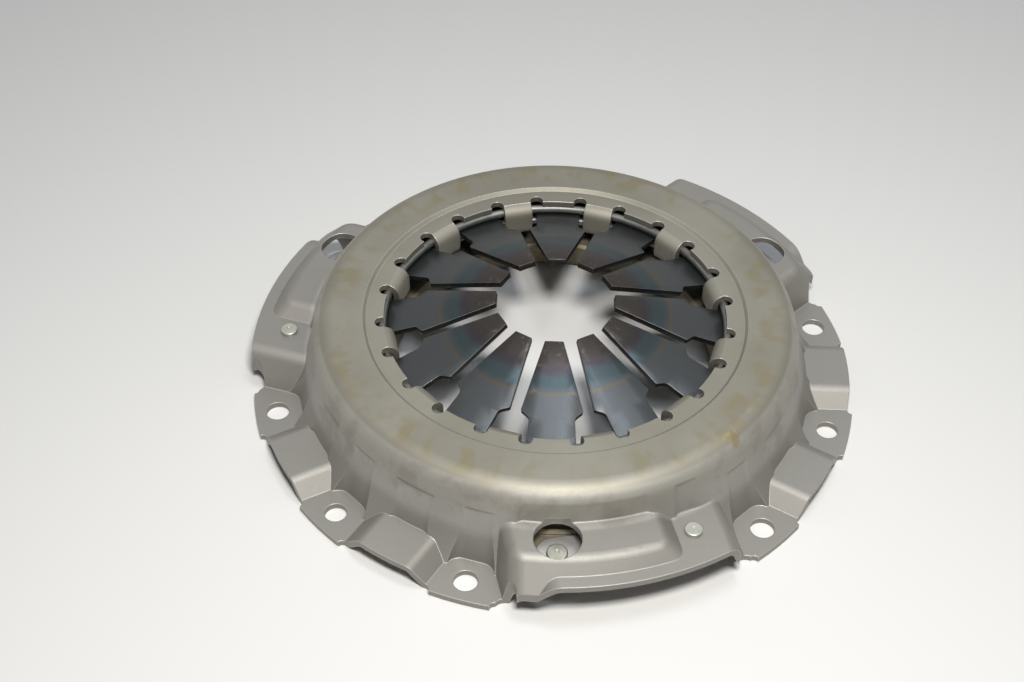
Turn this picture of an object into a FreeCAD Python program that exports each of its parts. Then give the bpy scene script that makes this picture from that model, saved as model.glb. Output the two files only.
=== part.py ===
import FreeCAD, Part

import math
import os

# Clutch cover assembly with a diaphragm spring and a pressure plate, in its free state off the flywheel.
# Millimetres. The origin is on the clutch axis in the plane of the flywheel, under the bolt tabs.
# +Z points away from the flywheel, towards the release bearing. The first strap station faces -Y.

# Repeats round the axis
STATIONS = 3                  # strap stations, each between two groups of three bolt tabs
FINGERS = 12                  # fingers of the spring, and curled tabs of the cover
TABS_IN_GROUP = 3
STEP = 360.0 / FINGERS        # bolt tabs, fingers and curled tabs share this pitch
STATION_STEP = 360.0 / STATIONS
FIRST_STATION = 270.0         # direction of the first station

# Bolt circle, which sets the size of the cover
BOLT_CIRCLE = 221.0
BOLT_RADIUS = BOLT_CIRCLE / 2
BOLT_HOLE = 9.0
DOWEL_HOLE = 8.3

# Cover sheet and its levels, measured on the outer side
SHEET = 2.6
PAD_TOP = 8.5                 # raised pads between the bolt tabs
STRIP_TOP = 16.8              # edge strip and strap rivet pad of a station
ARM_TOP = 21.5                # housing over the strap and the lug
CROWN_TOP = 35.3              # flat ring outside the rim
RIM_DROP = 1.3                # the rim round the fingers lies lower than the crown
RIM_TOP = CROWN_TOP - RIM_DROP

# Dome of the cover
SHOULDER_INSET = 24.2         # from the bolt circle to where the crown starts to turn down
SHOULDER_RADIUS = BOLT_RADIUS - SHOULDER_INSET
CROWN_WIDTH = 13.1
CROWN_STEP_RADIUS = SHOULDER_RADIUS - CROWN_WIDTH
CROWN_STEP_LEAN = 45.0        # slope of the small step up to the crown
RIM_WIDTH = 6.8
RIM_RADIUS = CROWN_STEP_RADIUS - RIM_WIDTH
SHOULDER_BEND = 8.0
WALL_LEAN = 12.0              # degrees from vertical
WALL_DROP = 11.3              # from the crown to where the wall starts to flare out
FLARE_START = CROWN_TOP - WALL_DROP
FLARE_BEND = 49.0

# Edge of the flange
TAB_MARGIN = 8.5              # from the bolt circle to the edge of a tab
TAB_EDGE_RADIUS = BOLT_RADIUS + TAB_MARGIN
PAD_SETBACK = 2.0
PAD_EDGE_RADIUS = TAB_EDGE_RADIUS - PAD_SETBACK
NOTCH_RADIUS = 2.0            # small notch beside each bolt tab
NOTCH_ANGLE = 6.4             # from the middle of the tab
SCALLOP_RADIUS = 4.2          # deep notch at each end of a station
SCALLOP_ANGLE = 21.9          # from the middle of the station

# Bolt tabs
TAB_SEAT = 9.2                # coined flat, from the bolt circle inwards
TAB_LINE = BOLT_RADIUS - TAB_SEAT
TAB_HALF_WIDTH = 7.9          # at the inner end
TAB_DRAFT = 15.0              # the flat widens outwards, degrees each side
TAB_CORNER = 5.5
TAB_DENT_LEAN = 17.5          # lean of the dent that the die leaves in the wall
TAB_DENT_RISE = 21.0

# Raised pads
PAD_HALF_WIDTH = 11.2         # half of the flat top
PAD_FOOT_HALF_WIDTH = 17.6
PAD_BEND = 4.5
PAD_SEAT = 10.2
PAD_LINE = BOLT_RADIUS - PAD_SEAT
PAD_DENT_HALF_WIDTH = 10.6
PAD_DENT_CORNER = 5.0
PAD_DENT_LEAN = 21.8
PAD_DENT_RISE = 15.0

# Strap stations: u runs along the flange, counter-clockwise from the middle of the station
STRIP_FOOT_LEFT = -44.5
STRIP_TOP_LEFT = -28.0
STRIP_TOP_RIGHT = 38.5
STRIP_FOOT_RIGHT = 44.6
STRIP_BEND_LEFT = 9.0
STRIP_BEND_RIGHT = 5.0
ARM_LEFT = -40.6              # at the top of the left wall
ARM_LEFT_LEAN = 11.0
ARM_RIGHT = 14.2              # at the top of the right end
ARM_END_LEAN = 48.0
ARM_EDGE_SETBACK = 0.9        # from the bolt circle to where the top meets the outer slope
ARM_EDGE_RADIUS = BOLT_RADIUS - ARM_EDGE_SETBACK
ARM_EDGE_LEAN = 45.0
ARM_BEND = 4.8
ARM_CORNER = 7.0              # rounding of its corners in plan
ARM_SEAT = 16.2
ARM_LINE = BOLT_RADIUS - ARM_SEAT
ARM_DENT_LEAN = 4.0
ARM_DENT_RISE = 9.0
ARM_DENT_CORNER = 4.0
ARM_DENT_ANGLE = -7.2         # middle of the dent, from the middle of the station
ARM_DENT_HALF_WIDTH = 26.0
RIVET_PAD_SEAT = 14.6
RIVET_PAD_LINE = BOLT_RADIUS - RIVET_PAD_SEAT
RIVET_PAD_ANGLE = 9.3         # the straight inner edge is square to this direction
RIVET_DENT_LEAN = 14.0
RIVET_DENT_RISE = 13.0
RIVET_DENT_CORNER = 3.5
RIVET_DENT_LEFT = 4.6         # ends of the dent, from the direction above
RIVET_DENT_RIGHT = 21.0

# Fulcrum wires
WIRE = 3.4
WIRE_SETBACK = 0.8            # the wire's centre line lies outside the edge of the rim
WIRE_CIRCLE = RIM_RADIUS + WIRE_SETBACK
WIRE_SEAT = 0.05              # play between a wire and the sheet or the spring

# Rim notches and curled tabs
RIM_NOTCH = 5.4
CURL_WIDTH = 11.4
CURL_GAP = 0.6                # between the lower wire and the upright part of a tab
CURL_FACE = WIRE_CIRCLE - WIRE / 2 - CURL_GAP - SHEET
CURL_BEND = 5.0               # outer bend radius
CURL_REACH = 2.3              # past the centre of the wire
CURL_END = WIRE_CIRCLE + CURL_REACH

# Diaphragm spring
SPRING_SHEET = 2.3
SPRING_CONE = 16.0            # degrees from flat
SPRING_TIP = 23.1
SPRING_SETBACK = 0.3
SPRING_RADIUS = SHOULDER_RADIUS - SPRING_SETBACK
SPRING_EDGE = 0.5             # rounding of the outer edge
SLOT_TIP = 5.2                # width of the slot at the finger tips
SLOT_ROOT = 4.2               # width where it opens into the window
SLOT_CORNER = 0.8
WINDOW_LENGTH = 17.3
WINDOW_END = CURL_END
WINDOW_START = WINDOW_END - WINDOW_LENGTH
WINDOW_RISE = 1.85            # from the slot's end to the shoulders of the window
WINDOW_TIGHT_PLAY = 0.2       # the window is wider than a curled tab, by this at the shoulders
WINDOW_SHOULDER = CURL_WIDTH + WINDOW_TIGHT_PLAY
WINDOW_PLAY = 6.2             # and by this at the outer end
WINDOW_WIDTH = CURL_WIDTH + WINDOW_PLAY
WINDOW_SHOULDER_BEND = 2.4
WINDOW_CORNER = 3.2

# Straps
LEAVES = 3
LEAF = 0.6
STRAP_WIDTH = 15.4
STRAP_GRIP = 10.0             # flat length each side of a rivet
STRAP_CLEARANCE = 2.2         # from the plate's ring to the strap, at the lug's rivet

# Pressure plate
LAND_MARGIN = 3.0             # from the edge of the spring to the circle on which it presses
LAND_RADIUS = SPRING_RADIUS - LAND_MARGIN
LAND_GAP = 0.3                # to the spring at rest
LAND_TIP_BEND = 2.2
LAND_ROOT_BEND = 1.5
LAND_LEAN = 22.0              # lean of the sides of a land
LAND_SPACE = 9.0              # width of the vents between the lands
VENT_DEPTH = 1.0              # the vents sink into the top of the plate
VENT_BEND = 1.5
PLATE_BORDER = 8.4            # from the lands to the outer edge
PLATE_OUTER = LAND_RADIUS + PLATE_BORDER
PLATE_WIDTH = 27.4
PLATE_INNER = PLATE_OUTER - PLATE_WIDTH
PLATE_FACE = 2.5              # friction face
PLATE_TOP = 12.4
PLATE_BEVEL = 1.2
LUG_ANGLE = -13.1             # from the middle of the station
LUG_RADIUS = PLATE_OUTER + STRAP_CLEARANCE + STRAP_WIDTH / 2
LUG_UNDERSIDE = 4.6
LUG_TOP = 10.5
LUG_BORDER = 1.3              # the rounded end stands out past the strap
LUG_END = STRAP_WIDTH / 2 + LUG_BORDER
LUG_FLARE = 4.0               # the lug widens on each side where it leaves the ring
LUG_NECK = LUG_END + LUG_FLARE
LUG_BEVEL = 0.6

# Access hole over the plate lug
ACCESS_HOLE = 17.2
ACCESS_RISE = 1.9             # the hole cuts this far up the wall behind the housing
ACCESS_LIP = ARM_TOP + ACCESS_RISE

# Rivets
COVER_RIVET_ANGLE = 14.1
COVER_RIVET_OFFSET = 3.9      # the cover's rivet lies further out than the lug's
COVER_RIVET_RADIUS = LUG_RADIUS + COVER_RIVET_OFFSET
SHANK = 4.4
SHANK_PLAY = 0.1
COVER_HEAD = 6.6
COVER_HEAD_RISE = 1.4
LUG_HEAD = 7.7
LUG_HEAD_RISE = 1.7
FORMED_HEAD = 7.2
FORMED_HEAD_RISE = 1.4
HEAD_EDGE = 0.5
HEAD_DIMPLE = 1.8             # round mark of the riveting tool
HEAD_DIMPLE_DEPTH = 0.3

BEYOND = 8.0                  # how far cutters run past the sheet
ROOT = 24.0                   # how far the pads and housings run back into the dome
CLOSE = 0.01                  # two heights this near each other are the same

AXIS = FreeCAD.Vector(0, 0, 1)
CENTRE = FreeCAD.Vector(0, 0, 0)


def sine(angle):
    return math.sin(math.radians(angle))


def cosine(angle):
    return math.cos(math.radians(angle))


def tangent(angle):
    return math.tan(math.radians(angle))


# Local drawings face -Y, as the first station does. In them u runs to the right, seen from outside, and
# distance from the axis runs along -Y.


def on_plan(height):
    """Places outline points (u, distance from the axis) on a level plane."""
    return lambda u, distance: FreeCAD.Vector(u, -distance, height)


def on_elevation(distance):
    """Places outline points (u, height) on an upright plane square to the radius."""
    return lambda u, height: FreeCAD.Vector(u, -distance, height)


def on_section(radius, height):
    """Places outline points on the plane that is revolved about the clutch axis."""
    return FreeCAD.Vector(radius, 0, height)


def crossing(first, second):
    """Point where two lines meet; a line is a point and a direction."""
    (px, py), (ax, ay) = first
    (qx, qy), (bx, by) = second
    share = ((qx - px) * by - (qy - py) * bx) / (ax * by - ay * bx)
    return (px + share * ax, py + share * ay)


def moved_sides(points, moves):
    """Corners of a counter-clockwise outline after each side has moved outwards by its own distance."""
    lines = []
    for index, (u, v) in enumerate(points):
        next_u, next_v = points[(index + 1) % len(points)]
        length = math.hypot(next_u - u, next_v - v)
        along = ((next_u - u) / length, (next_v - v) / length)
        start = (u + along[1] * moves[index], v - along[0] * moves[index])
        lines.append((start, along))
    return [crossing(lines[index - 1], lines[index]) for index in range(len(points))]


def rounded_corner(before, corner, after, radius, growth):
    """Start, middle and end of the arc at a corner, which stays concentric when the outline grows."""
    into = FreeCAD.Vector(corner[0] - before[0], corner[1] - before[1], 0).normalize()
    out = FreeCAD.Vector(after[0] - corner[0], after[1] - corner[1], 0).normalize()
    if radius:
        radius += growth if into.cross(out).z > 0 else -growth
    if radius < 0.05:
        return corner, None, corner
    half_turn = into.getAngle(out) / 2
    reach = radius * math.tan(half_turn)
    sag = radius / math.cos(half_turn) - radius
    inwards = (out - into).normalize()
    start = (corner[0] - into.x * reach, corner[1] - into.y * reach)
    end = (corner[0] + out.x * reach, corner[1] + out.y * reach)
    return start, (corner[0] + inwards.x * sag, corner[1] + inwards.y * sag), end


def outline(points, radii, place, moves=None):
    """Closed wire round a counter-clockwise outline, with rounded corners and moved sides."""
    count = len(points)
    moves = moves or [0.0] * count
    corners = moved_sides(points, moves)
    arcs = []
    for index, corner in enumerate(corners):
        growth = max(moves[index - 1], moves[index], key=abs)
        after = corners[(index + 1) % count]
        arcs.append(rounded_corner(corners[index - 1], corner, after, radii[index], growth))
    edges = []
    for index, (start, middle, end) in enumerate(arcs):
        if middle:
            edges.append(Part.Arc(place(*start), place(*middle), place(*end)).toShape())
        next_start = arcs[(index + 1) % count][0]
        if math.hypot(next_start[0] - end[0], next_start[1] - end[1]) > 0.001:
            edges.append(Part.LineSegment(place(*end), place(*next_start)).toShape())
    return Part.Wire(edges)


def swept(wire, path):
    """Solid that a flat outline sweeps along a straight path."""
    solid = Part.Face(wire).extrude(path)
    if solid.Volume < 0:
        solid.reverse()
    return solid


def revolved(wire):
    solid = Part.Face(wire).revolve(CENTRE, AXIS, 360)
    if solid.Volume < 0:
        solid.reverse()
    return solid


def turned(shape, angle):
    """Copy of a shape turned about the clutch axis."""
    copy = shape.copy()
    copy.rotate(CENTRE, AXIS, angle)
    return copy


def facing(shape, direction):
    """Copy of a local drawing, turned from -Y to its direction."""
    return turned(shape, direction - 270.0)


def drum(radius, low, high, direction=0.0, distance=0.0):
    """Upright cylinder, placed by its direction and distance from the axis."""
    base = FreeCAD.Vector(distance * cosine(direction), distance * sine(direction), low)
    return Part.makeCylinder(radius, high - low, base)


def joined(shapes):
    return shapes[0].multiFuse(shapes[1:]).removeSplitter()


def station_directions():
    return [FIRST_STATION + STATION_STEP * index for index in range(STATIONS)]


def group_directions(count):
    """Directions of the tabs, or of the pads between them, in the groups between the stations."""
    directions = []
    for station in station_directions():
        first = station + STATION_STEP / 2 - STEP * (count - 1) / 2
        directions.extend(first + STEP * index for index in range(count))
    return directions


def tab_directions():
    return group_directions(TABS_IN_GROUP)


def pad_directions():
    return group_directions(TABS_IN_GROUP - 1)


def pitch_directions():
    return [STEP * index for index in range(FINGERS)]


# Cover: the sheet is an outer form less an inner form, whose sides lie one sheet thickness inside


def dome_form(inset):
    """Filled dome: rim, step, crown, rounded shoulder, leaning wall and flared foot."""
    bend = SHOULDER_BEND - inset
    bend_height = CROWN_TOP - SHOULDER_BEND
    outer_wall = SHOULDER_RADIUS + SHOULDER_BEND * cosine(WALL_LEAN)
    drop = bend_height + SHOULDER_BEND * sine(WALL_LEAN) - FLARE_START
    flare = FLARE_BEND + inset
    flare_radius = outer_wall + drop * tangent(WALL_LEAN) + FLARE_BEND * cosine(WALL_LEAN)
    flare_height = FLARE_START + FLARE_BEND * sine(WALL_LEAN)
    foot_angle = math.degrees(math.asin(flare_height / flare))

    def on_shoulder(angle):
        return on_section(SHOULDER_RADIUS + bend * cosine(angle), bend_height + bend * sine(angle))

    def on_flare(angle):
        return on_section(flare_radius - flare * cosine(angle), flare_height - flare * sine(angle))

    step_start = CROWN_STEP_RADIUS + inset * tangent(CROWN_STEP_LEAN / 2)
    step_end = step_start + (CROWN_TOP - RIM_TOP) / tangent(CROWN_STEP_LEAN)
    points = [
        on_section(0, 0),
        on_section(0, RIM_TOP - inset),
        on_section(step_start, RIM_TOP - inset),
        on_section(step_end, CROWN_TOP - inset),
        on_shoulder(90),
    ]
    edges = [Part.LineSegment(start, end).toShape() for start, end in zip(points, points[1:])]
    middle = on_shoulder((90 + WALL_LEAN) / 2)
    edges.append(Part.Arc(on_shoulder(90), middle, on_shoulder(WALL_LEAN)).toShape())
    edges.append(Part.LineSegment(on_shoulder(WALL_LEAN), on_flare(WALL_LEAN)).toShape())
    middle = on_flare((WALL_LEAN + foot_angle) / 2)
    edges.append(Part.Arc(on_flare(WALL_LEAN), middle, on_flare(foot_angle)).toShape())
    edges.append(Part.LineSegment(on_flare(foot_angle), points[0]).toShape())
    return revolved(Part.Wire(edges))


def ridge_form(foot_left, foot_right, top_right, top_left, top, bends, inset):
    """Block with sloping ends and bent top edges, run from inside the dome out past the flange."""
    corners = [(foot_left, 0), (foot_right, 0), (top_right, top), (top_left, top)]
    start = ARM_LINE - ROOT
    wire = outline(corners, [0, 0, *bends], on_elevation(start), [0, -inset, -inset, -inset])
    return swept(wire, FreeCAD.Vector(0, start - TAB_EDGE_RADIUS - BEYOND, 0))


def pad_form(inset):
    """Raised pad between two bolt tabs, open at the flange's edge."""
    slope = (PAD_FOOT_HALF_WIDTH - PAD_HALF_WIDTH) / (PAD_TOP - SHEET)
    foot = PAD_HALF_WIDTH + slope * PAD_TOP
    return ridge_form(-foot, foot, PAD_HALF_WIDTH, -PAD_HALF_WIDTH, PAD_TOP, [PAD_BEND, PAD_BEND], inset)


def strip_form(inset):
    """Edge strip and rivet pad of a station, with their sloping ends."""
    rise = STRIP_TOP / (STRIP_TOP - SHEET)
    foot_left = STRIP_TOP_LEFT + (STRIP_FOOT_LEFT - STRIP_TOP_LEFT) * rise
    foot_right = STRIP_TOP_RIGHT + (STRIP_FOOT_RIGHT - STRIP_TOP_RIGHT) * rise
    bends = [STRIP_BEND_RIGHT, STRIP_BEND_LEFT]
    return ridge_form(foot_left, foot_right, STRIP_TOP_RIGHT, STRIP_TOP_LEFT, STRIP_TOP, bends, inset)


def edges_by(shape, test):
    """Edges whose sample points pass a test."""
    return [edge for edge in shape.Edges if test(edge.discretize(5))]


def arm_form(inset):
    """Housing over the strap: steep left wall, sloping outer side and right end, rounded corners."""
    foot_left = ARM_LEFT - ARM_TOP * tangent(ARM_LEFT_LEAN)
    foot_right = ARM_RIGHT + ARM_TOP * tangent(ARM_END_LEAN)
    block = ridge_form(foot_left, foot_right, ARM_RIGHT, ARM_LEFT, ARM_TOP, [0, 0], inset)
    reach = ARM_EDGE_RADIUS + ARM_TOP * tangent(ARM_EDGE_LEAN)
    section = [(0, 0), (reach, 0), (ARM_EDGE_RADIUS, ARM_TOP), (0, ARM_TOP)]
    arm = block.common(revolved(outline(section, [0, 0, 0, 0], on_section, [0, -inset, -inset, 0])))
    top = ARM_TOP - inset

    def rises(points):
        heights = [point.z for point in points]
        upright = max(heights) > top - CLOSE and min(heights) < top / 2
        return upright and min(-point.y for point in points) > ARM_LINE

    def rims(points):
        level = min(point.z for point in points) > top - CLOSE
        return level and max(-point.y for point in points) > ARM_LINE

    arm = arm.makeFillet(ARM_CORNER - inset, edges_by(arm, rises))
    return arm.makeFillet(ARM_BEND - inset, edges_by(arm, rims))


def die_cut(corners, radii, wall_sides, floor, lean, rise, inset):
    """Space above a coined flat; its first sides lean with the dent that the die leaves in the wall."""
    wall_move = inset / cosine(lean) - inset * tangent(lean)
    moves = [wall_move] * wall_sides + [inset] * (len(corners) - wall_sides)
    wire = outline(corners, radii, on_plan(floor - inset), moves)
    height = rise + inset
    return swept(wire, FreeCAD.Vector(0, height * tangent(lean), height))


def curved_corners(radius, half_width, corner):
    """Corners and radii of an inner edge that runs about the axis between two rounded corners."""
    angle = math.asin((half_width - corner) / radius)
    peak = radius / math.cos(angle)
    end = peak - half_width * math.tan(angle)
    return [(-half_width, end), (0, peak), (half_width, end)], [corner, radius, corner]


def tab_cut(inset):
    """Coined flat of a bolt tab, which widens outwards."""
    far = TAB_EDGE_RADIUS + BEYOND
    wide = TAB_HALF_WIDTH + (far - TAB_LINE) * tangent(TAB_DRAFT)
    corners = [(-TAB_HALF_WIDTH, TAB_LINE), (TAB_HALF_WIDTH, TAB_LINE), (wide, far), (-wide, far)]
    return die_cut(corners, [TAB_CORNER, TAB_CORNER, 0, 0], 1, SHEET, TAB_DENT_LEAN, TAB_DENT_RISE, inset)


def curved_cut(line, half_width, corner, floor, lean, rise, inset):
    """Coined flat whose inner edge runs about the axis."""
    far = TAB_EDGE_RADIUS + BEYOND
    corners, radii = curved_corners(line, half_width, corner)
    corners = [*corners, (half_width, far), (-half_width, far)]
    return die_cut(corners, [*radii, 0, 0], 2, floor, lean, rise, inset)


def pad_cut(inset):
    return curved_cut(
        PAD_LINE, PAD_DENT_HALF_WIDTH, PAD_DENT_CORNER, PAD_TOP, PAD_DENT_LEAN, PAD_DENT_RISE, inset
    )


def arm_cut(inset):
    return curved_cut(
        ARM_LINE, ARM_DENT_HALF_WIDTH, ARM_DENT_CORNER, ARM_TOP, ARM_DENT_LEAN, ARM_DENT_RISE, inset
    )


def rivet_pad_cut(inset):
    """Coined flat of the rivet pad, with its straight inner edge."""
    far = RIVET_PAD_LINE + BEYOND
    left, right = RIVET_DENT_LEFT, RIVET_DENT_RIGHT
    corners = [(left, RIVET_PAD_LINE), (right, RIVET_PAD_LINE), (right, far), (left, far)]
    radii = [RIVET_DENT_CORNER, RIVET_DENT_CORNER, 0, 0]
    return die_cut(corners, radii, 1, STRIP_TOP, RIVET_DENT_LEAN, RIVET_DENT_RISE, inset)


def cover_form(inset):
    """Filled shape of the whole cover, at the outer side or one inset below it."""
    pad, strip, arm = pad_form(inset), strip_form(inset), arm_form(inset)
    solids = [dome_form(inset)]
    solids += [facing(pad, direction) for direction in pad_directions()]
    cuts = [facing(tab_cut(inset), direction) for direction in tab_directions()]
    cuts += [facing(pad_cut(inset), direction) for direction in pad_directions()]
    for direction in station_directions():
        solids += [facing(strip, direction), facing(arm, direction)]
        cuts.append(facing(arm_cut(inset), direction + ARM_DENT_ANGLE))
        cuts.append(facing(rivet_pad_cut(inset), direction + RIVET_PAD_ANGLE))
    if inset == 0:
        solids.append(drum(TAB_EDGE_RADIUS + BEYOND, 0, SHEET))
    return joined(solids).cut(cuts)


def flange_blank():
    """Outline of the flange: bolt tabs stand out past the pads, with notches beside them."""
    low, high = -BEYOND, CROWN_TOP + BEYOND
    blank = drum(TAB_EDGE_RADIUS, low, high)
    half_pad = STEP / 2 - NOTCH_ANGLE
    corners = [(PAD_EDGE_RADIUS, low), (PAD_EDGE_RADIUS + BEYOND, low)]
    corners += [(PAD_EDGE_RADIUS + BEYOND, high), (PAD_EDGE_RADIUS, high)]
    rim_section = Part.Face(outline(corners, [0, 0, 0, 0], on_section))
    trim = rim_section.revolve(CENTRE, AXIS, 2 * half_pad)
    cuts = [turned(trim, direction - half_pad) for direction in pad_directions()]
    for direction in tab_directions():
        for side in (-1, 1):
            angle = direction + side * NOTCH_ANGLE
            cuts.append(drum(NOTCH_RADIUS, low, high, angle, TAB_EDGE_RADIUS))
    for direction in station_directions():
        for side in (-1, 1):
            angle = direction + side * SCALLOP_ANGLE
            cuts.append(drum(SCALLOP_RADIUS, low, high, angle, TAB_EDGE_RADIUS))
    return blank.cut(cuts)


def curled_tab():
    """Tab that turns down through a spring window and curls out under the lower wire."""
    bottom = lower_wire_height() - WIRE / 2 - WIRE_SEAT
    inner = CURL_FACE + SHEET
    corners = [
        (CURL_END, RIM_TOP),
        (CURL_FACE, RIM_TOP),
        (CURL_FACE, bottom - SHEET),
        (CURL_END, bottom - SHEET),
        (CURL_END, bottom),
        (inner, bottom),
        (inner, RIM_TOP - SHEET),
        (CURL_END, RIM_TOP - SHEET),
    ]
    inside = CURL_BEND - SHEET
    radii = [0, CURL_BEND, CURL_BEND, 0, 0, inside, inside, 0]
    wire = outline(corners, radii, lambda radius, height: FreeCAD.Vector(-CURL_WIDTH / 2, -radius, height))
    return swept(wire, FreeCAD.Vector(CURL_WIDTH, 0, 0))


def cover_holes():
    """Spring opening, rim notches, bolt, dowel, access and rivet holes."""
    high = CROWN_TOP + BEYOND
    low = RIM_TOP - SHEET - BEYOND
    holes = [drum(RIM_RADIUS, low, high)]
    offset = math.degrees(math.asin((CURL_WIDTH + RIM_NOTCH) / 2 / WIRE_CIRCLE))
    for direction in pitch_directions():
        for side in (-1, 1):
            holes.append(drum(RIM_NOTCH / 2, low, high, direction + side * offset, WIRE_CIRCLE))
    for index, direction in enumerate(tab_directions()):
        middle = index % TABS_IN_GROUP == TABS_IN_GROUP // 2
        size = DOWEL_HOLE if middle else BOLT_HOLE
        holes.append(drum(size / 2, -BEYOND, high, direction, BOLT_RADIUS))
    for direction in station_directions():
        holes.append(drum(ACCESS_HOLE / 2, LUG_TOP, ACCESS_LIP, direction + LUG_ANGLE, LUG_RADIUS))
        hole = (SHANK + SHANK_PLAY) / 2
        holes.append(drum(hole, LUG_TOP, ARM_TOP, direction + COVER_RIVET_ANGLE, COVER_RIVET_RADIUS))
    return holes


def cover_pressing():
    sheet = cover_form(0).cut(cover_form(SHEET)).common(flange_blank())
    sheet = sheet.cut(cover_holes())
    return joined([sheet] + [facing(curled_tab(), direction) for direction in pitch_directions()])


# Spring and wires: the rim of the cover sets the upper wire, and each seat sets the next


def upper_wire_height():
    return RIM_TOP - SHEET - WIRE_SEAT - WIRE / 2


def spring_top(radius):
    """Height of the spring's upper side, at rest."""
    at_wire = upper_wire_height() - (WIRE / 2 + WIRE_SEAT) / cosine(SPRING_CONE)
    return at_wire + (WIRE_CIRCLE - radius) * tangent(SPRING_CONE)


def spring_underside(radius):
    return spring_top(radius) - SPRING_SHEET / cosine(SPRING_CONE)


def lower_wire_height():
    return spring_underside(WIRE_CIRCLE) - (WIRE / 2 + WIRE_SEAT) / cosine(SPRING_CONE)


def spring_window():
    """Slot between two fingers and the window at its outer end."""
    start = SPRING_TIP - BEYOND
    narrowing = (SLOT_TIP - SLOT_ROOT) / (WINDOW_START - SPRING_TIP)
    half_start = (SLOT_TIP + narrowing * BEYOND) / 2
    right = [
        (half_start, start),
        (SLOT_ROOT / 2, WINDOW_START),
        (WINDOW_SHOULDER / 2, WINDOW_START + WINDOW_RISE),
        (WINDOW_WIDTH / 2, WINDOW_END),
    ]
    left = [(-u, distance) for u, distance in reversed(right)]
    radii = [0, SLOT_CORNER, WINDOW_SHOULDER_BEND, WINDOW_CORNER]
    low = spring_underside(SPRING_RADIUS) - BEYOND
    wire = outline(right + left, radii + radii[::-1], on_plan(low))
    return swept(wire, FreeCAD.Vector(0, 0, spring_top(0) + BEYOND - low))


def diaphragm_spring():
    down = (-SPRING_SHEET * sine(SPRING_CONE), -SPRING_SHEET * cosine(SPRING_CONE))
    inner = SPRING_TIP - BEYOND
    tip, edge = (inner, spring_top(inner)), (SPRING_RADIUS, spring_top(SPRING_RADIUS))
    corners = [
        tip,
        (tip[0] + down[0], tip[1] + down[1]),
        (edge[0] + down[0], edge[1] + down[1]),
        edge,
    ]
    disc = revolved(outline(corners, [0, 0, SPRING_EDGE, SPRING_EDGE], on_section))
    reach = SPRING_TIP / cosine(STEP / 2)
    tips = [FreeCAD.Vector(reach * cosine(angle), reach * sine(angle), 0) for angle in pitch_directions()]
    opening = swept(Part.makePolygon(tips + tips[:1]), FreeCAD.Vector(0, 0, spring_top(0) + BEYOND))
    window = spring_window()
    return disc.cut([opening] + [facing(window, direction) for direction in pitch_directions()])


def fulcrum_wire(height):
    return Part.makeTorus(WIRE_CIRCLE, WIRE / 2, FreeCAD.Vector(0, 0, height))


# Pressure plate


def plate_lug():
    """Lug that carries a strap: rounded end, straight sides and flared root."""
    start = PLATE_OUTER - BEYOND
    end = LUG_RADIUS + LUG_END
    root = PLATE_OUTER + LUG_FLARE
    foot = PLATE_OUTER - LUG_BEVEL
    right = [(LUG_NECK, start), (LUG_NECK, foot), (LUG_END, root), (LUG_END, end)]
    left = [(-u, distance) for u, distance in reversed(right)]
    radii = [0, 0, LUG_FLARE, LUG_END]
    lug = swept(
        outline(right + left, radii + radii[::-1], on_plan(LUG_UNDERSIDE)),
        FreeCAD.Vector(0, 0, LUG_TOP - LUG_UNDERSIDE),
    )

    def rims(points):
        level = min(point.z for point in points) > LUG_TOP - CLOSE
        return level and -points[2].y > start + CLOSE

    return lug.makeChamfer(LUG_BEVEL, edges_by(lug, rims))


def pressure_plate():
    crest = spring_underside(LAND_RADIUS) - (LAND_TIP_BEND + LAND_GAP) / cosine(SPRING_CONE)
    apex = crest + LAND_TIP_BEND / sine(LAND_LEAN)
    root = (apex - PLATE_TOP) * tangent(LAND_LEAN)
    corners = [
        (PLATE_INNER, PLATE_FACE),
        (PLATE_OUTER, PLATE_FACE),
        (PLATE_OUTER, PLATE_TOP - PLATE_BEVEL),
        (PLATE_OUTER - PLATE_BEVEL, PLATE_TOP),
        (LAND_RADIUS + root, PLATE_TOP),
        (LAND_RADIUS, apex),
        (LAND_RADIUS - root, PLATE_TOP),
        (PLATE_INNER + PLATE_BEVEL, PLATE_TOP),
        (PLATE_INNER, PLATE_TOP - PLATE_BEVEL),
    ]
    radii = [0, 0, 0, 0, LAND_ROOT_BEND, LAND_TIP_BEND, LAND_ROOT_BEND, 0, 0]
    ring = revolved(outline(corners, radii, on_section))
    vent_floor = PLATE_TOP - VENT_DEPTH
    vent = [(-LAND_SPACE / 2, vent_floor), (LAND_SPACE / 2, vent_floor)]
    vent += [(LAND_SPACE / 2, apex), (-LAND_SPACE / 2, apex)]
    start = PLATE_INNER - BEYOND
    wire = outline(vent, [VENT_BEND, VENT_BEND, 0, 0], on_elevation(start))
    cutter = swept(wire, FreeCAD.Vector(0, start - PLATE_OUTER - BEYOND, 0))
    ring = ring.cut([facing(cutter, direction) for direction in pitch_directions()])
    lug = plate_lug()
    hole = (SHANK + SHANK_PLAY) / 2
    lugs = [facing(lug, direction + LUG_ANGLE) for direction in station_directions()]
    holes = [
        drum(hole, PLATE_FACE, PLATE_TOP, direction + LUG_ANGLE, LUG_RADIUS)
        for direction in station_directions()
    ]
    return joined([ring] + lugs).cut(holes)


# Straps and rivets


def strap_ends():
    """Rivet places of the first station as (u, distance): on the plate lug, then on the cover."""
    places = [(LUG_RADIUS, LUG_ANGLE), (COVER_RIVET_RADIUS, COVER_RIVET_ANGLE)]
    return [(radius * sine(angle), radius * cosine(angle)) for radius, angle in places]


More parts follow.
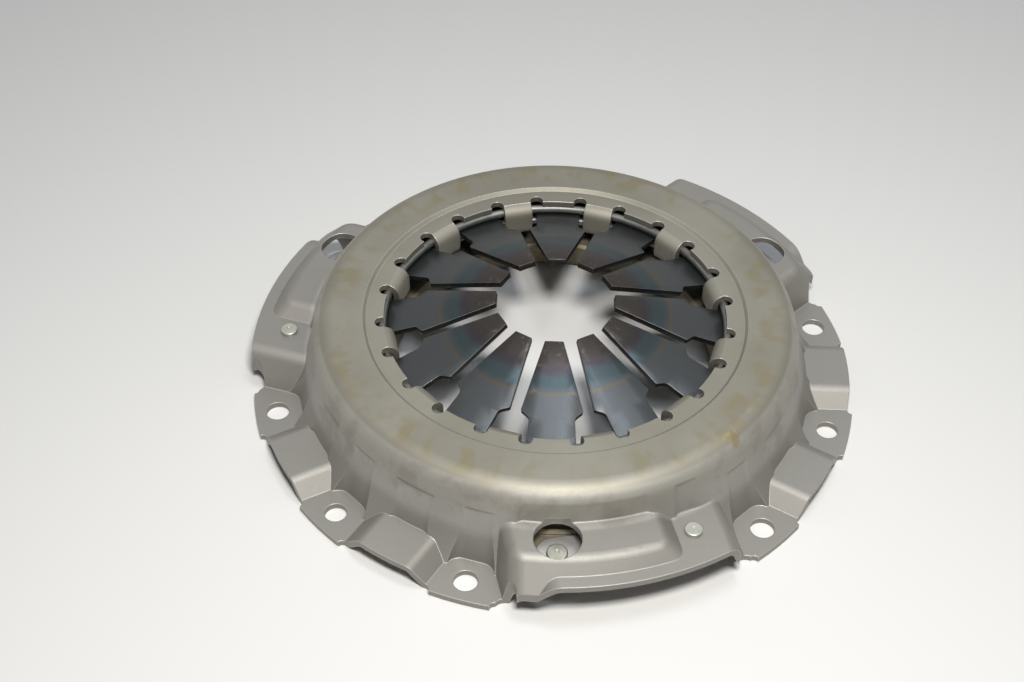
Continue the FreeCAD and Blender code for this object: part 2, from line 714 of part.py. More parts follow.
def strap_leaf(number):
    """Spring steel leaf that steps up from the plate lug to the rivet pad."""
    (start_u, start_out), (end_u, end_out) = strap_ends()
    length = math.hypot(end_u - start_u, end_out - start_out)
    half = STRAP_WIDTH / 2
    low = LUG_TOP + LEAF * number
    high = STRIP_TOP - SHEET - LEAF * (LEAVES - number)
    corners = [
        (-half, low),
        (STRAP_GRIP, low),
        (length - STRAP_GRIP, high),
        (length + half, high),
        (length + half, high + LEAF),
        (length - STRAP_GRIP, high + LEAF),
        (STRAP_GRIP, low + LEAF),
        (-half, low + LEAF),
    ]
    band = swept(outline(corners, [0] * 8, on_elevation(-half)), FreeCAD.Vector(0, -STRAP_WIDTH, 0))
    bottom, top = LUG_TOP - BEYOND, STRIP_TOP + BEYOND
    middle = Part.makeBox(length, STRAP_WIDTH, top - bottom, FreeCAD.Vector(0, -half, bottom))
    far_end = FreeCAD.Vector(length, 0, 0)
    ends = [drum(half, bottom, top), drum(half, bottom, top).translated(far_end)]
    hole = drum((SHANK + SHANK_PLAY) / 2, bottom, top)
    leaf = band.common(joined([middle] + ends)).cut([hole, hole.translated(far_end)])
    leaf.rotate(CENTRE, AXIS, math.degrees(math.atan2(start_out - end_out, end_u - start_u)))
    leaf.translate(FreeCAD.Vector(start_u, -start_out, 0))
    return leaf


def rivet(head, head_rise, top, bottom):
    """Rivet with a flat round head, the tool's dimple in it, and a formed head below."""
    crown = top + head_rise
    foot = bottom - FORMED_HEAD_RISE
    corners = [
        (0, foot),
        (FORMED_HEAD / 2, foot),
        (FORMED_HEAD / 2, bottom),
        (SHANK / 2, bottom),
        (SHANK / 2, top),
        (head / 2, top),
        (head / 2, crown),
        (HEAD_DIMPLE / 2, crown),
        (HEAD_DIMPLE / 2, crown - HEAD_DIMPLE_DEPTH),
        (0, crown - HEAD_DIMPLE_DEPTH),
    ]
    radii = [0, HEAD_EDGE, 0, 0, 0, 0, HEAD_EDGE, 0, 0, 0]
    return revolved(outline(corners, radii, on_section))


def at_place(shape, direction, distance):
    return shape.translated(FreeCAD.Vector(distance * cosine(direction), distance * sine(direction), 0))


def export(shape, node):
    if not shape.isValid():
        raise ValueError(node + " is not a valid shape")
    shape.exportStep("parts/" + node + ".step")
    print(node, "solids", len(shape.Solids), "volume", round(shape.Volume, 1))


def build():
    os.makedirs("parts", exist_ok=True)
    export(cover_pressing(), "cover_pressing")
    export(diaphragm_spring(), "diaphragm_spring")
    export(fulcrum_wire(upper_wire_height()), "upper_fulcrum_wire")
    export(fulcrum_wire(lower_wire_height()), "lower_fulcrum_wire")
    export(pressure_plate(), "pressure_plate")
    strap_underside = STRIP_TOP - SHEET - LEAVES * LEAF
    cover_rivet = rivet(COVER_HEAD, COVER_HEAD_RISE, STRIP_TOP, strap_underside)
    lug_rivet = rivet(LUG_HEAD, LUG_HEAD_RISE, LUG_TOP + LEAVES * LEAF, LUG_UNDERSIDE)
    for station, direction in enumerate(station_directions(), start=1):
        for number in range(LEAVES):
            export(facing(strap_leaf(number), direction), f"strap_{station}_leaf_{number + 1}")
        placed = at_place(cover_rivet, direction + COVER_RIVET_ANGLE, COVER_RIVET_RADIUS)
        export(placed, f"cover_rivet_{station}")
        placed = at_place(lug_rivet, direction + LUG_ANGLE, LUG_RADIUS)
        export(placed, f"lug_rivet_{station}")


if __name__ == "__main__":
    build()
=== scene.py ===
"""Dresses the clutch cover assembly: pressed cover, diaphragm spring, pressure plate, straps and rivets.

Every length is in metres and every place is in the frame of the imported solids: the clutch axis is Z, the
flywheel's plane is Z = 0, and the first strap station faces -Y.
"""

from __future__ import annotations

import logging
import math
from collections.abc import Callable
from dataclasses import dataclass, field
from enum import Enum

import bmesh
import bpy
from mathutils import Matrix, Vector


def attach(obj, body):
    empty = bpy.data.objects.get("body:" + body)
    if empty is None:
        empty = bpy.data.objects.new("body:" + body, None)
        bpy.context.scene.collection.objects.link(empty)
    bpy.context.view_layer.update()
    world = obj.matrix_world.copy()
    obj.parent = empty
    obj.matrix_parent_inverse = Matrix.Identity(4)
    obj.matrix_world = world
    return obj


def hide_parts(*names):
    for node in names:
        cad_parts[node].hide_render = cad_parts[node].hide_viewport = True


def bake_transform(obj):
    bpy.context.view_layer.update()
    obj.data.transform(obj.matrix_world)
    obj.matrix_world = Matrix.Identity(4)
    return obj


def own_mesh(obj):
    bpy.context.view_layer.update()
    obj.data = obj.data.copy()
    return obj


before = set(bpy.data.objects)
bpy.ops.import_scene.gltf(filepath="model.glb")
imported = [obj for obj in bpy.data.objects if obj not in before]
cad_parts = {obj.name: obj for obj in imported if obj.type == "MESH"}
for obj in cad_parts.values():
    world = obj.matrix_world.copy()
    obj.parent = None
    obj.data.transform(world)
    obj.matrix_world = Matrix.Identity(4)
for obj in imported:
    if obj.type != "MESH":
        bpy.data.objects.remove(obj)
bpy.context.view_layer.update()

LOG = logging.getLogger("clutch_cover")

MM = 0.001
STATIONS = 3
FIRST_STATION = 270.0
LEAVES = 3
MERGE_DISTANCE = 0.002 * MM

Colour = tuple[float, float, float]
Span = tuple[float, float]


class Body(Enum):
    """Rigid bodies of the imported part."""

    COVER = "cover"
    PLATE = "pressure_plate"


class Slot(Enum):
    """Material slots of the record."""

    SPRING = "spring_steel"
    STRAP = "strap_steel"


class Signal:
    """One output socket, which takes part in arithmetic by adding Math nodes to its material."""

    def __init__(self, paint: "Paint", socket: bpy.types.NodeSocket) -> None:
        """Wrap a socket.

        Args:
            paint: Material that the socket's node belongs to.
            socket: Output socket that carries the value.
        """
        self.paint = paint
        self.socket = socket

    def _with(self, operation: str, other: "Signal | float", reflected: bool = False) -> "Signal":
        """Return a Math node's value for this signal and another value.

        Args:
            operation: Name of the Math operation.
            other: The second value.
            reflected: Whether the other value comes first.

        Returns:
            The node's output.
        """
        values = [other, self] if reflected else [self, other]
        return self.paint.maths(operation, *values)

    def __add__(self, other: "Signal | float") -> "Signal":
        """Sum."""
        return self._with("ADD", other)

    def __radd__(self, other: float) -> "Signal":
        """Sum with a number in front."""
        return self._with("ADD", other, True)

    def __sub__(self, other: "Signal | float") -> "Signal":
        """Difference."""
        return self._with("SUBTRACT", other)

    def __rsub__(self, other: float) -> "Signal":
        """Difference from a number in front."""
        return self._with("SUBTRACT", other, True)

    def __mul__(self, other: "Signal | float") -> "Signal":
        """Product."""
        return self._with("MULTIPLY", other)

    def __rmul__(self, other: float) -> "Signal":
        """Product with a number in front."""
        return self._with("MULTIPLY", other, True)

    def __truediv__(self, other: "Signal | float") -> "Signal":
        """Quotient."""
        return self._with("DIVIDE", other)

    def __pow__(self, other: "Signal | float") -> "Signal":
        """Power."""
        return self._with("POWER", other)


class Paint:
    """A procedural material while its nodes are being added."""

    def __init__(self, name: str) -> None:
        """Start a material with one Principled shader.

        Args:
            name: Name of the material.
        """
        self.material = bpy.data.materials.new(name)
        self.material.use_nodes = True
        self.tree = self.material.node_tree
        self.shader = self.tree.nodes["Principled BSDF"]
        place = self.tree.nodes.new("ShaderNodeTexCoord")
        self.place = Signal(self, place.outputs["Object"])

    def feed(self, socket: bpy.types.NodeSocket, value: object) -> None:
        """Link a signal to an input socket, or set the socket's own value.

        Args:
            socket: Input socket.
            value: A Signal, a number or a colour.
        """
        if isinstance(value, Signal):
            self.tree.links.new(value.socket, socket)
        elif socket.type == "RGBA" and len(value) == 3:
            socket.default_value = (*value, 1.0)
        else:
            socket.default_value = value

    def node(self, kind: str, settings: dict | None = None, inputs: dict | None = None,
             output: str | int = 0) -> Signal:
        """Add a node, with its settings first and its sockets after them.

        Args:
            kind: Blender's name of the node type.
            settings: Attributes of the node; "stops" gives the stops of a colour ramp.
            inputs: Values or signals by socket name or index.
            output: Name or index of the output that is wanted.

        Returns:
            The wanted output.
        """
        made = self.tree.nodes.new(kind)
        for name, value in (settings or {}).items():
            if name == "stops":
                self._set_stops(made.color_ramp, value)
            else:
                setattr(made, name, value)
        for name, value in (inputs or {}).items():
            self.feed(made.inputs[name], value)
        return Signal(self, made.outputs[output])

    @staticmethod
    def _set_stops(ramp: bpy.types.ColorRamp, stops: list[tuple[float, Colour]]) -> None:
        """Give a ramp its stops.

        Args:
            ramp: The ramp.
            stops: Positions and colours, in rising order.
        """
        while len(ramp.elements) < len(stops):
            ramp.elements.new(1.0)
        for element, (position, colour) in zip(ramp.elements, stops):
            element.position = position
            element.color = (*colour, 1.0)

    def maths(self, operation: str, *values: "Signal | float") -> Signal:
        """Return the value of a Math node."""
        return self.node("ShaderNodeMath", {"operation": operation}, dict(enumerate(values)))

    def vector(self, operation: str, *values: object, output: str | int = 0) -> Signal:
        """Return the result of a Vector Math node."""
        return self.node("ShaderNodeVectorMath", {"operation": operation}, dict(enumerate(values)), output)

    def noise(self, scale: float, detail: float = 3.0, roughness: float = 0.5,
              place: Signal | None = None) -> Signal:
        """Return smooth noise between 0 and 1.

        Args:
            scale: Waves to a metre.
            detail: Number of finer layers.
            roughness: Weight of the finer layers.
            place: Coordinates, where they aren't the object's own.

        Returns:
            The noise value.
        """
        inputs = {"Vector": place or self.place, "Scale": scale, "Detail": detail, "Roughness": roughness}
        return self.node("ShaderNodeTexNoise", None, inputs, "Fac")

    def step(self, value: Signal, low: float, high: float) -> Signal:
        """Return a smooth 0 to 1 ramp of a value between two limits."""
        settings = {"interpolation_type": "SMOOTHSTEP", "clamp": True}
        return self.node("ShaderNodeMapRange", settings, {"Value": value, "From Min": low, "From Max": high})

    def band(self, value: Signal, middle: float, half_width: float) -> Signal:
        """Return 1 in the middle of a band and 0 outside it."""
        away = self.maths("ABSOLUTE", value - middle)
        return 1.0 - self.step(away, half_width * 0.35, half_width)

    def blend(self, amount: "Signal | float", first: object, second: object) -> Signal:
        """Return a colour between two colours.

        Args:
            amount: Share of the second colour.
            first: Colour at 0.
            second: Colour at 1.

        Returns:
            The mixed colour.
        """
        inputs = {"Factor": amount, 6: first, 7: second}
        return self.node("ShaderNodeMix", {"data_type": "RGBA"}, inputs, 2)

    def polar(self) -> tuple[Signal, Signal, Signal]:
        """Return the radius about the clutch axis, the angle in radians and the height."""
        parts = self.tree.nodes.new("ShaderNodeSeparateXYZ")
        self.feed(parts.inputs[0], self.place)
        x, y, z = (Signal(self, output) for output in parts.outputs)
        radius = (x * x + y * y) ** 0.5
        return radius, self.maths("ARCTAN2", y, x), z

    def vector_of(self, x: object, y: object, z: object) -> Signal:
        """Return a vector of three values."""
        return self.node("ShaderNodeCombineXYZ", None, {0: x, 1: y, 2: z})

    def rounded_edges_and_sheen(self, radius: float, samples: int = 6) -> tuple[Signal, Signal]:
        """Round every sharp edge in the shading and find where the edges are; most materials lighten that edge
        mask as a painted sheen.

        Args:
            radius: Radius of the rounding.
            samples: Samples of the Bevel node.

        Returns:
            The rounded normal, and a mask that is 1 at an edge.
        """
        soft = self.node("ShaderNodeBevel", {"samples": samples}, {"Radius": radius})
        true = self.node("ShaderNodeNewGeometry", None, None, "Normal")
        alike = self.vector("DOT_PRODUCT", soft, true, output="Value")
        return soft, self.step(1.0 - alike, 0.002, 0.16)

    def relief(self, height: Signal, distance: float, normal: Signal | None = None) -> Signal:
        """Return the normal of a surface with a bump of the given height."""
        inputs = {"Height": height, "Distance": distance}
        if normal is not None:
            inputs["Normal"] = normal
        return self.node("ShaderNodeBump", None, inputs)

    def finish(self, **sockets: object) -> bpy.types.Material:
        """Feed the shader and hand over the material.

        Args:
            sockets: Values by the shader's socket names, with underscores for spaces.

        Returns:
            The finished material.
        """
        for name, value in sockets.items():
            self.feed(self.shader.inputs[name.replace("_", " ")], value)
        return self.material


@dataclass(frozen=True)
class PressedSteel:
    """Satin grey pressed sheet: soft olive stains round the shoulder, a painted cooler reflection on the low
    flats, painted sheen and painted shade on the dented wall, painted highlights along the edges.
    """

    name: str = "pressed_steel"
    pale: Colour = (0.300, 0.286, 0.240)
    dull: Colour = (0.245, 0.231, 0.190)
    # Painted cooler reflection laid on the low flats.
    flats_reflection_tint: Colour = (0.295, 0.284, 0.270)
    olive: Colour = (0.235, 0.205, 0.110)
    # Painted shade in patches on the dented wall.
    dent_shade: Colour = (0.225, 0.195, 0.172)
    # Painted sheen on the dented wall and painted highlights along the edges.
    sheen: Colour = (0.62, 0.61, 0.59)
    grease: Colour = (0.34, 0.26, 0.10)
    edge_radius: float = 0.5 * MM
    dent_radius: float = 1.2 * MM
    wall_start: Span = (90.5 * MM, 92.0 * MM)
    wall_end: Span = (97.0 * MM, 99.0 * MM)
    wall_foot: Span = (9.0 * MM, 12.0 * MM)
    flats_end: Span = (20.0 * MM, 29.0 * MM)
    crown_rise: Span = (24.0 * MM, 31.0 * MM)
    stain_radius: float = 84.0 * MM
    stain_half_width: float = 8.0 * MM
    grease_edge: Span = (1.8 * MM, 4.2 * MM)
    grease_raggedness: float = 8.0 * MM
    grease_place: tuple[float, float, float] = (47.0 * MM, -78.1 * MM, 35.0 * MM)

    def make(self) -> bpy.types.Material:
        """Build the material."""
        paint = Paint(self.name)
        radius, angle, height = paint.polar()
        sharp, edges = paint.rounded_edges_and_sheen(self.edge_radius)
        dents = self.dent_zone(paint, radius, height)
        wide = paint.node("ShaderNodeBevel", {"samples": 6}, {"Radius": self.dent_radius})
        soft = paint.node("ShaderNodeMix", {"data_type": "VECTOR"}, {"Factor": dents, 4: sharp, 5: wide}, 1)
        clouds = paint.noise(20.0, 4.0, 0.55)
        grain = paint.noise(1100.0, 2.0, 0.6)
        colour = paint.blend(paint.step(clouds, 0.36, 0.68), self.pale, self.dull)
        # Painted reflection: the low flats are tinted cooler, as the bluish ceiling lamp shows them.
        low = 1.0 - paint.step(height, *self.flats_end)
        colour = paint.blend(low * 0.75, colour, self.flats_reflection_tint)
        # Painted sheen: the dented wall is lightened all round.
        colour = paint.blend(dents * 0.28, colour, self.sheen)
        # Painted shade: dark reddish patches in the dents.
        dent_shade_patches = paint.step(paint.noise(70.0, 3.0, 0.65), 0.47, 0.66) * dents
        colour = paint.blend(dent_shade_patches * 0.35, colour, self.dent_shade)
        colour = paint.blend(self.stains(paint, radius, angle, height), colour, self.olive)
        blob = self.grease_blob(paint)
        colour = paint.blend(blob * 0.6, colour, self.grease)
        # Painted highlights: the edges are lightened, except on the dented wall.
        colour = paint.blend(edges * (1.0 - dents) * 0.8, colour, self.sheen)
        colour = paint.blend(grain * 0.22, colour, self.dull)
        roughness = 0.50 + clouds * 0.10 + grain * 0.08 - edges * 0.16 - blob * 0.2
        bumps = grain + clouds * 3.0 + blob * 9.0
        return paint.finish(Base_Color=colour, Metallic=0.9, Roughness=roughness,
                            Normal=paint.relief(bumps, 0.010 * MM, soft))

    def dent_zone(self, paint: Paint, radius: Signal, height: Signal) -> Signal:
        """Return the mask of the wall between the crown and the flats, where the dies press dents."""
        inside = paint.step(radius, *self.wall_start) * (1.0 - paint.step(radius, *self.wall_end))
        return inside * paint.step(height, *self.wall_foot)

    def grease_blob(self, paint: Paint) -> Signal:
        """Return the mask of the dab of grease on the front right of the shoulder."""
        away = paint.vector("DISTANCE", paint.place, self.grease_place, output="Value")
        ragged = away + (paint.noise(240.0, 3.0, 0.6) - 0.5) * self.grease_raggedness
        return 1.0 - paint.step(ragged, *self.grease_edge)

    def stains(self, paint: Paint, radius: Signal, angle: Signal, height: Signal) -> Signal:
        """Return the mask of the soft stains round the crown and shoulder.

        Args:
            paint: Material under work.
            radius: Distance from the clutch axis.
            angle: Angle about the axis.
            height: Height above the flywheel.

        Returns:
            Mask, 1 where a stain is strongest.
        """
        place = paint.vector_of(angle * 0.085, radius * 0.6, height * 0.5)
        strokes = paint.noise(120.0, 2.0, 0.55, place)
        patches = paint.noise(20.0, 2.0, 0.5)
        ring = paint.band(radius, self.stain_radius, self.stain_half_width)
        zone = ring * paint.step(height, *self.crown_rise)
        return paint.step(strokes, 0.46, 0.64) * paint.step(patches, 0.34, 0.56) * zone * 0.62


@dataclass(frozen=True)
class TemperedSpring:
    """Dark spring steel with temper colours in rings about the clutch axis."""

    name: str = "tempered_spring"
    tip: Colour = (0.052, 0.045, 0.041)
    speckle: Colour = (0.150, 0.125, 0.108)
    purple: Colour = (0.048, 0.041, 0.048)
    teal: Colour = (0.046, 0.066, 0.071)
    straw: Colour = (0.110, 0.088, 0.056)
    dark: Colour = (0.078, 0.085, 0.089)
    # Painted sheen along the edges.
    edge: Colour = (0.30, 0.30, 0.30)
    straw_radius: float = 44.8 * MM
    straw_half_width: float = 1.05 * MM
    ring_wobble: float = 6.0 * MM
    tip_zone: Span = (27.0 * MM, 35.0 * MM)
    outer_radius: float = 90.0 * MM

    def make(self) -> bpy.types.Material:
        """Build the material."""
        paint = Paint(self.name)
        radius, angle, height = paint.polar()
        soft, edges = paint.rounded_edges_and_sheen(0.25 * MM)
        wobble = (paint.noise(75.0, 3.0) - 0.5) * self.ring_wobble
        ringed = (radius + wobble) / self.outer_radius
        stops = [
            (0.25, self.tip),
            (0.345, self.tip),
            (0.385, self.purple),
            (0.420, self.teal),
            (0.455, self.teal),
            (0.500, self.dark),
            (1.0, self.dark),
        ]
        colour = paint.node("ShaderNodeValToRGB", {"stops": stops}, {"Fac": ringed})
        line = paint.band(radius + wobble * 0.14, self.straw_radius, self.straw_half_width)
        broken = paint.step(paint.noise(90.0, 2.0), 0.30, 0.50)
        colour = paint.blend(line * broken * 0.6, colour, self.straw)
        near_tip = 1.0 - paint.step(radius, *self.tip_zone)
        specks = paint.step(paint.noise(420.0, 4.0, 0.7), 0.56, 0.68)
        colour = paint.blend(specks * near_tip * 0.75, colour, self.speckle)
        streaks = paint.noise(1.0, 3.0, 0.6, paint.vector_of(radius * 60.0, angle * 160.0, height * 60.0))
        blotch = paint.noise(900.0, 2.0, 0.6)
        colour = paint.blend(blotch * 0.30, colour, self.tip)
        # Painted sheen: the edges are lightened.
        colour = paint.blend(edges * 0.6, colour, self.edge)
        roughness = 0.27 + streaks * 0.10 + blotch * 0.07 + near_tip * 0.06
        normal = paint.relief(streaks + blotch, 0.005 * MM, soft)
        return paint.finish(Base_Color=colour, Metallic=0.92, Roughness=roughness, Normal=normal)


@dataclass(frozen=True)
class PlainMetal:
    """Plain metal with light clouding, for wires, straps and rivets."""

    name: str
    base: Colour
    dull: Colour
    roughness: float = 0.3
    cloud_scale: float = 120.0
    grain_scale: float = 1500.0
    relief: float = 0.008 * MM
    edge_radius: float = 0.2 * MM
    hatch: float = 0.0

    def make(self) -> bpy.types.Material:
        """Build the material."""
        paint = Paint(self.name)
        soft, edges = paint.rounded_edges_and_sheen(self.edge_radius)
        clouds = paint.noise(self.cloud_scale, 3.0)
        grain = paint.noise(self.grain_scale, 2.0)
        colour = paint.blend(paint.step(clouds, 0.4, 0.7), self.base, self.dull)
        # Painted sheen: the edges are lightened.
        colour = paint.blend(edges * 0.4, colour, tuple(min(1.0, 1.35 * part) for part in self.base))
        roughness = self.roughness + grain * 0.12 - 0.04
        texture = grain + clouds
        if self.hatch:
            lines = self.cross_hatch(paint)
            colour = paint.blend(lines * 0.35, colour, self.dull)
            texture = texture + lines * 1.5
        normal = paint.relief(texture, self.relief, soft)
        return paint.finish(Base_Color=colour, Metallic=0.9, Roughness=roughness, Normal=normal)

    def cross_hatch(self, paint: Paint) -> Signal:
        """Return the fine crossed lines of rolled strip, as a value between 0 and 1."""
        parts = paint.tree.nodes.new("ShaderNodeSeparateXYZ")
        paint.feed(parts.inputs[0], paint.place)
        x, y = Signal(paint, parts.outputs[0]), Signal(paint, parts.outputs[1])
        one = paint.maths("SINE", (x + y) * self.hatch)
        other = paint.maths("SINE", (x - y) * self.hatch)
        return one * other * 0.5 + 0.5


@dataclass(frozen=True)
class CastIron:
    """Cast iron ring: turned friction face below, olive tinted casting skin elsewhere."""

    name: str = "cast_iron"
    skin: Colour = (0.30, 0.265, 0.185)
    dull: Colour = (0.20, 0.18, 0.135)
    turned: Colour = (0.42, 0.42, 0.42)
    face_height: float = 2.5 * MM

    def make(self) -> bpy.types.Material:
        """Build the material."""
        paint = Paint(self.name)
        radius, angle, height = paint.polar()
        soft, edges = paint.rounded_edges_and_sheen(0.5 * MM)
        clouds = paint.noise(70.0, 4.0, 0.6)
        grain = paint.noise(700.0, 3.0, 0.6)
        face = 1.0 - paint.step(height, self.face_height + 0.02 * MM, self.face_height + 0.2 * MM)
        rings = paint.noise(1.0, 2.0, 0.6, paint.vector_of(radius * 2600.0, angle * 0.6, 0.0))
        colour = paint.blend(paint.step(clouds, 0.38, 0.68), self.skin, self.dull)
        colour = paint.blend(face, colour, self.turned)
        roughness = 0.55 + grain * 0.15 - face * 0.25
        texture = grain * (1.0 - face) + rings * face * 0.25
        normal = paint.relief(texture, 0.06 * MM, soft)
        return paint.finish(Base_Color=colour, Metallic=0.75, Roughness=roughness, Normal=normal)


BRIGHT_WIRE = PlainMetal("drawn_wire", (0.20, 0.20, 0.19), (0.13, 0.13, 0.125), 0.42)
STRAP_STEEL = PlainMetal("strap_steel", (0.62, 0.60, 0.60), (0.52, 0.50, 0.48), 0.48, hatch=5200.0)
RIVET_STEEL = PlainMetal("rivet_steel", (0.50, 0.50, 0.45), (0.42, 0.42, 0.35), 0.34, 300.0)


@dataclass
class Studio:
    """Pale floor, soft lamps, white surroundings and the camera of the reference view."""

    floor_size: float = 9.0
    floor_colour: Colour = (0.84, 0.835, 0.82)
    surroundings: float = 0.12
    ceiling_place: Vector = field(default_factory=lambda: Vector((0.24, 0.22, 1.5)))
    ceiling_size: tuple[float, float] = (0.60, 0.34)
    ceiling_power: float = 4.9
    ceiling_colour: Colour = (0.84, 0.91, 1.0)
    key_place: Vector = field(default_factory=lambda: Vector((-0.039, -0.299, 0.60)))
    key_size: tuple[float, float] = (0.15, 0.13)
    key_power: float = 3.8
    key_colour: Colour = (1.0, 0.98, 0.94)
    eye: Vector = field(default_factory=lambda: Vector((-0.1157, -0.4240, 0.4511)))
    heading: float = 13.1
    pitch: float = 44.63
    roll: float = 0.59
    lens: float = 54.94
    sensor: float = 36.0

    def build(self) -> None:
        """Make the floor, the surroundings, the lamps and the camera."""
        self.lay_floor()
        self.light_surroundings()
        ceiling = self.hang_lamp("ceiling_lamp", self.ceiling_place, self.ceiling_size, self.ceiling_power)
        ceiling.color = self.ceiling_colour
        key = self.hang_lamp("key_lamp", self.key_place, self.key_size, self.key_power)
        key.color = self.key_colour
        self.set_camera()
        bpy.context.scene.view_settings.view_transform = "Standard"

    def lay_floor(self) -> None:
        """Lay the floor that the object stands on."""
        bpy.ops.object.select_all(action="DESELECT")
        bpy.ops.mesh.primitive_plane_add(size=self.floor_size, location=(0.0, 0.0, 0.0))
        floor = bpy.context.object
        floor.name = "floor"
        paint = Paint("pale_floor")
        clouds = paint.noise(3.0, 2.0)
        shade = tuple(0.97 * part for part in self.floor_colour)
        colour = paint.blend(clouds, self.floor_colour, shade)
        floor.data.materials.append(paint.finish(Base_Color=colour, Roughness=0.9))

    def light_surroundings(self) -> None:
        """Give soft light all round, and white to what sees or mirrors the surroundings."""
        world = bpy.data.worlds.new("surroundings")
        world.use_nodes = True
        tree = world.node_tree
        tree.nodes.clear()
        path = tree.nodes.new("ShaderNodeLightPath")
        seen = tree.nodes.new("ShaderNodeMath")
        seen.operation = "ADD"
        tree.links.new(path.outputs["Is Camera Ray"], seen.inputs[0])
        tree.links.new(path.outputs["Is Glossy Ray"], seen.inputs[1])
        white = tree.nodes.new("ShaderNodeMath")
        white.operation = "ADD"
        white.use_clamp = True
        tree.links.new(seen.outputs[0], white.inputs[0])
        tree.links.new(path.outputs["Is Transmission Ray"], white.inputs[1])
        strength = tree.nodes.new("ShaderNodeMapRange")
        strength.inputs["To Min"].default_value = self.surroundings
        strength.inputs["To Max"].default_value = 1.0
        tree.links.new(white.outputs[0], strength.inputs["Value"])
        glow = tree.nodes.new("ShaderNodeBackground")
        tree.links.new(strength.outputs["Result"], glow.inputs["Strength"])
        output = tree.nodes.new("ShaderNodeOutputWorld")
        tree.links.new(glow.outputs[0], output.inputs["Surface"])
        bpy.context.scene.world = world

    def hang_lamp(self, name: str, place: Vector, size: tuple[float, float], power: float) -> bpy.types.Light:
        """Hang a panel that faces the object.

        Args:
            name: Name of the lamp.
            place: Its position.
            size: Its width and length.
            power: Its power in watts.

        Returns:
            The lamp's light.
        """
        light = bpy.data.lights.new(name, "AREA")
        light.shape = "RECTANGLE"
        light.size, light.size_y = size
        light.energy = power
        lamp = bpy.data.objects.new(name, light)
        bpy.context.scene.collection.objects.link(lamp)
        lamp.location = place
        lamp.rotation_euler = (-place).to_track_quat("-Z", "Y").to_euler()
        return light

    def set_camera(self) -> None:
        """Set the camera where the reference picture was taken from."""
        data = bpy.data.cameras.new("camera")
        data.lens = self.lens
        data.sensor_width = self.sensor
        camera = bpy.data.objects.new("camera", data)
        bpy.context.scene.collection.objects.link(camera)
        turn = Matrix.Rotation(math.radians(-self.heading), 4, "Z")
        tilt = Matrix.Rotation(math.radians(90.0 - self.pitch), 4, "X")
        roll = Matrix.Rotation(math.radians(self.roll), 4, "Z")
        camera.matrix_world = Matrix.Translation(self.eye) @ turn @ tilt @ roll
        bpy.context.scene.camera = camera


def dress(node: str, material: bpy.types.Material) -> bpy.types.Object:
    """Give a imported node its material.

    Args:
        node: Name of the node.
        material: The finish.

    Returns:
        The node's object.
    """
    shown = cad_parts[node]
    if not shown.material_slots:
        shown.data.materials.append(material)
    for place in shown.material_slots:
        place.material = material
    LOG.info("dressed %s with %s", node, material.name)
    return shown


def merged_copy(node: str, name: str) -> bpy.types.Object:
    """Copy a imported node's mesh to a new object, with its loose triangles merged, and leave it in edit mode.

    Args:
        node: Name of the node.
        name: Name of the new piece.

    Returns:
        The new object, the only one selected.
    """
    bpy.ops.object.select_all(action="DESELECT")
    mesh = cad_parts[node].data.copy()
    mesh.name = name
    mesh.materials.clear()
    piece = bpy.data.objects.new(name, mesh)
    bpy.context.scene.collection.objects.link(piece)
    piece.select_set(True)
    bpy.context.view_layer.objects.active = piece
    bpy.ops.object.mode_set(mode="EDIT")
    bpy.ops.mesh.select_all(action="SELECT")
    bpy.ops.mesh.remove_doubles(threshold=MERGE_DISTANCE)
    return piece


def select_faces(piece: bpy.types.Object, wanted: Callable[[bmesh.types.BMFace], bool]) -> None:
    """Select the faces that pass a test, in edit mode.

    Args:
        piece: Object in edit mode.
        wanted: Test of one face.
    """
    bpy.ops.mesh.select_all(action="DESELECT")
    shape = bmesh.from_edit_mesh(piece.data)
    for face in shape.faces:
        face.select_set(wanted(face))
    bmesh.update_edit_mesh(piece.data)


@dataclass
class Diaphragm:
    """Slotted conical spring: one skin with live thickness."""

    node: str = "diaphragm_spring"
    thickness: float = 2.3 * MM
    edge: float = 0.3 * MM
    sharp_edge: float = 50.0
    smooth_below: float = 35.0
    least_upward: float = 0.85
    pivot_height: float = 27.83 * MM
    flattened: float = 0.10
    finish: TemperedSpring = field(default_factory=TemperedSpring)

    def build(self) -> bpy.types.Object:
        """Build the spring and hang it on the cover's body."""
        piece = merged_copy(self.node, "diaphragm")
        select_faces(piece, lambda face: face.normal.z < self.least_upward)
        bpy.ops.mesh.delete(type="FACE")
        bpy.ops.object.mode_set(mode="OBJECT")
        bpy.ops.object.shade_smooth()
        wall = piece.modifiers.new("thickness", "SOLIDIFY")
        wall.thickness = self.thickness
        wall.offset = -1.0
        rounding = piece.modifiers.new("edges", "BEVEL")
        rounding.width = self.edge
        rounding.segments = 2
        rounding.limit_method = "ANGLE"
        rounding.angle_limit = math.radians(self.sharp_edge)
        bpy.ops.object.shade_smooth_by_angle(angle=math.radians(self.smooth_below))
        piece.data.materials.append(self.finish.make())
        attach(piece, Body.COVER.value)
        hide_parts(self.node)
        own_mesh(piece)
        LOG.info("built %s, %d faces", piece.name, len(piece.data.polygons))
        return piece


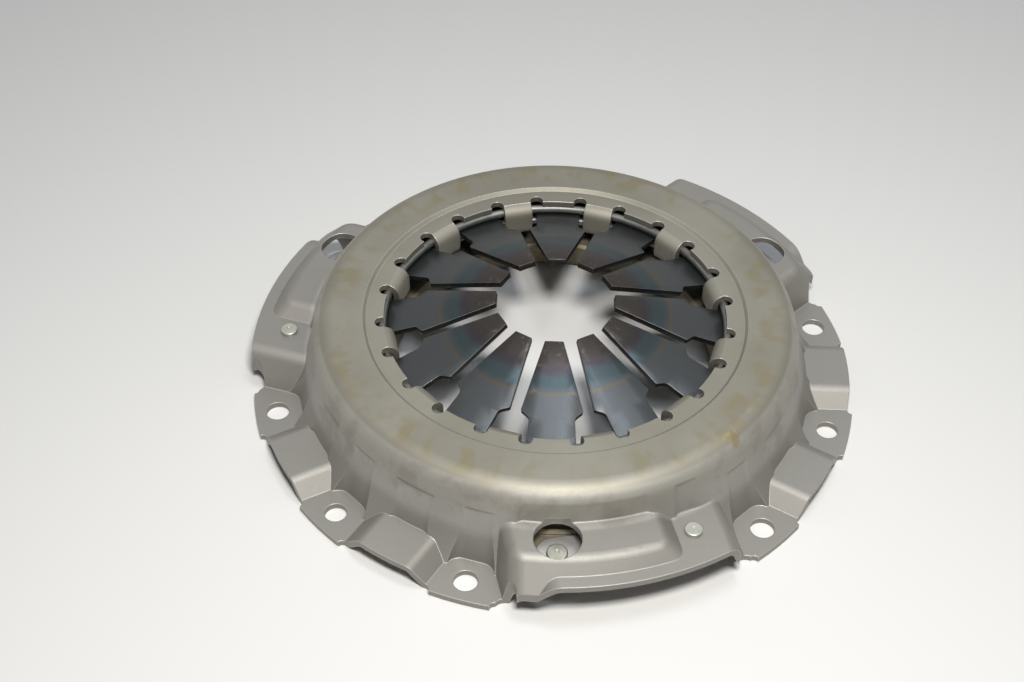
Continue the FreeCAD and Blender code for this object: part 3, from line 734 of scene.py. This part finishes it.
@dataclass
class StrapPack:
    """The leaves between one plate lug and the cover, cut across into short lengths."""

    number: int
    lug_radius: float = 101.3 * MM
    lug_turn: float = -13.1
    pad_radius: float = 105.2 * MM
    pad_turn: float = 14.1
    grip: float = 10.0 * MM
    cuts: int = 12
    smooth_below: float = 20.0

    def place(self, radius: float, turn: float) -> Vector:
        """Return a rivet's place in plan.

        Args:
            radius: Distance from the clutch axis.
            turn: Degrees from the middle of the station.

        Returns:
            The place, at height 0.
        """
        angle = math.radians(FIRST_STATION + 360.0 / STATIONS * (self.number - 1) + turn)
        return Vector((radius * math.cos(angle), radius * math.sin(angle), 0.0))

    def build(self, material: bpy.types.Material) -> bpy.types.Object:
        """Build the pack.

        Args:
            material: Finish of the leaves.

        Returns:
            The piece.
        """
        nodes = [f"strap_{self.number}_leaf_{leaf}" for leaf in range(1, LEAVES + 1)]
        lug, pad = self.place(self.lug_radius, self.lug_turn), self.place(self.pad_radius, self.pad_turn)
        along = (pad - lug).normalized()
        start, end = lug + along * self.grip, pad - along * self.grip
        leaves = []
        for leaf, node in enumerate(nodes, start=1):
            leaves.append(merged_copy(node, f"strap_pack_{self.number}_{leaf}"))
            for cut in range(1, self.cuts):
                bpy.ops.mesh.select_all(action="SELECT")
                middle = start.lerp(end, cut / self.cuts)
                bpy.ops.mesh.bisect(plane_co=middle, plane_no=along)
            bpy.ops.object.mode_set(mode="OBJECT")
        for leaf in leaves:
            leaf.select_set(True)
        bpy.context.view_layer.objects.active = leaves[0]
        bpy.ops.object.join()
        piece = leaves[0]
        piece.name = f"strap_pack_{self.number}"
        bpy.ops.object.shade_smooth_by_angle(angle=math.radians(self.smooth_below))
        piece.data.materials.append(material)
        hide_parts(*nodes)
        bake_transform(piece)
        LOG.info("built %s, %d faces", piece.name, len(piece.data.polygons))
        return piece


def main() -> None:
    """Build the studio and dress every piece."""
    logging.basicConfig(level=logging.INFO, format="%(message)s")
    Studio().build()
    dress("cover_pressing", PressedSteel().make())
    Diaphragm().build()
    wire = BRIGHT_WIRE.make()
    dress("upper_fulcrum_wire", wire)
    dress("lower_fulcrum_wire", wire)
    dress("pressure_plate", CastIron().make())
    strap, rivet = STRAP_STEEL.make(), RIVET_STEEL.make()
    for station in range(1, STATIONS + 1):
        StrapPack(station).build(strap)
        dress(f"cover_rivet_{station}", rivet)
        dress(f"lug_rivet_{station}", rivet)


if __name__ == "__main__":
    main()
